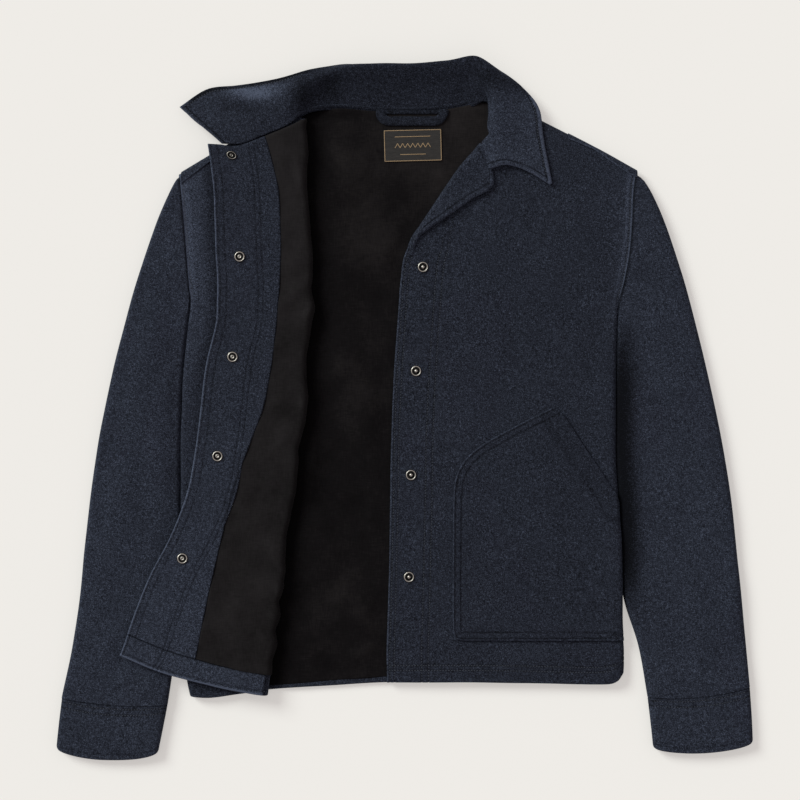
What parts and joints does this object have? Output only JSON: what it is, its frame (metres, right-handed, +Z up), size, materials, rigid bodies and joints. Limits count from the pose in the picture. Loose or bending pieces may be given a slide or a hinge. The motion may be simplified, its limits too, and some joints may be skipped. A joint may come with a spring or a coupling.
{
  "type": "insulated jacket",
  "caption": "Heathered navy wool jacket with a dark lining, laid on its back, one front folded open, turned-down collar, patch pocket, press fasteners and banded cuffs.",
  "frame": {"origin": "centre of the jacket's bounding box, on the surface that it lies on", "axes": "+Z up from the surface, +Y from the hem towards the collar, +X towards the wearer's left sleeve"},
  "size_m": [0.8228, 0.8278, 0.0229],
  "materials": {
    "wool": "heathered navy wool twill, napped and matt",
    "lining": "brushed black cotton lining, matt",
    "snap_metal": "antiqued nickel press fasteners",
    "label": "woven satin label with a tan border"
  },
  "bodies": {
    "root": {"back": "wool", "front_left": "wool", "front_right": "wool", "facing_right": "wool", "hem_facing_right": "wool", "sleeve_left": "wool", "sleeve_right": "wool", "cuff_left": "wool", "cuff_right": "wool", "collar": "wool", "lapel_left": "wool", "pocket_left": "wool", "hanger_loop": "wool", "back_lining": "lining", "lining_right": "lining", "stud_1": "snap_metal", "stud_2": "snap_metal", "stud_3": "snap_metal", "stud_4": "snap_metal", "socket_1": "snap_metal", "socket_2": "snap_metal", "socket_3": "snap_metal", "socket_4": "snap_metal", "socket_5": "snap_metal", "cap_1": "snap_metal", "cap_2": "snap_metal", "cap_3": "snap_metal", "cap_4": "snap_metal", "cap_5": "snap_metal", "label": "label"}
  },
  "joints": []
}
